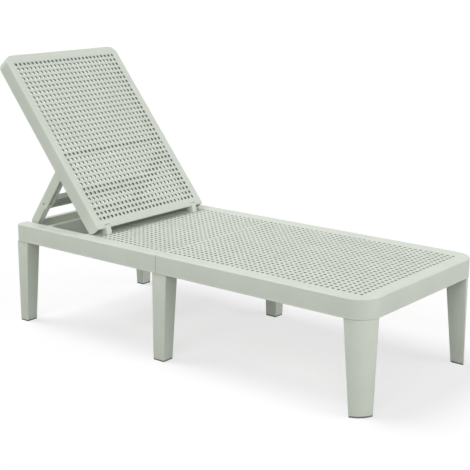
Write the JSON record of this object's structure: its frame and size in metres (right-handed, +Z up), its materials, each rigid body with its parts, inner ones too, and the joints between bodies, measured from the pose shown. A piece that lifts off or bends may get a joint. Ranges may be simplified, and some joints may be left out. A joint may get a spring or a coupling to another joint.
{
  "type": "sun lounger",
  "caption": "Moulded resin sun lounger with a woven-lattice deck in two bolted halves, plug-in legs, a reclining backrest and its folding prop.",
  "frame": {"origin": "on the floor under the middle of the lounger's reach in the position in use", "axes": "+X across the lounger, +Y along it from the foot end to the head end, +Z up"},
  "size_m": [0.635, 1.5686, 0.9188],
  "materials": {
    "resin": "satin moulded resin, pale sage green",
    "pad": "matte grey pad",
    "steel": "stainless"
  },
  "bodies": {
    "base": {"seat_front": "resin", "seat_rear": "resin", "leg_front_left": "resin", "leg_front_right": "resin", "leg_middle_left": "resin", "leg_middle_right": "resin", "leg_rear_left": "resin", "leg_rear_right": "resin", "foot_pad_front_left": "pad", "foot_pad_front_right": "pad", "foot_pad_middle_left": "pad", "foot_pad_middle_right": "pad", "foot_pad_rear_left": "pad", "foot_pad_rear_right": "pad", "hinge_pin_left": "steel", "hinge_pin_right": "steel", "joining_bolt_1": "steel", "joining_bolt_2": "steel", "joining_bolt_3": "steel", "joining_bolt_4": "steel", "joining_nut_1": "steel", "joining_nut_2": "steel", "joining_nut_3": "steel", "joining_nut_4": "steel"},
    "backrest": {"backrest": "resin", "prop_pin_left": "steel", "prop_pin_right": "steel"},
    "prop": {"prop_frame": "resin"}
  },
  "joints": [
    {"name": "backrest_recline", "type": "hinge", "parent": "base", "child": "backrest", "pos_m": [0, 0.3378, 0.3747], "axis": [1, 0, 0], "range_deg": [-51.1, 4]},
    {"name": "prop_swing", "type": "hinge", "parent": "backrest", "child": "prop", "pos_m": [0, 0.48484, 0.55056], "axis": [1, 0, 0], "range_deg": [-8.5, 106]}
  ],
  "couplings": [
    {"joint": "prop_swing", "follows": "backrest_recline", "ratio": -2.0728}
  ]
}
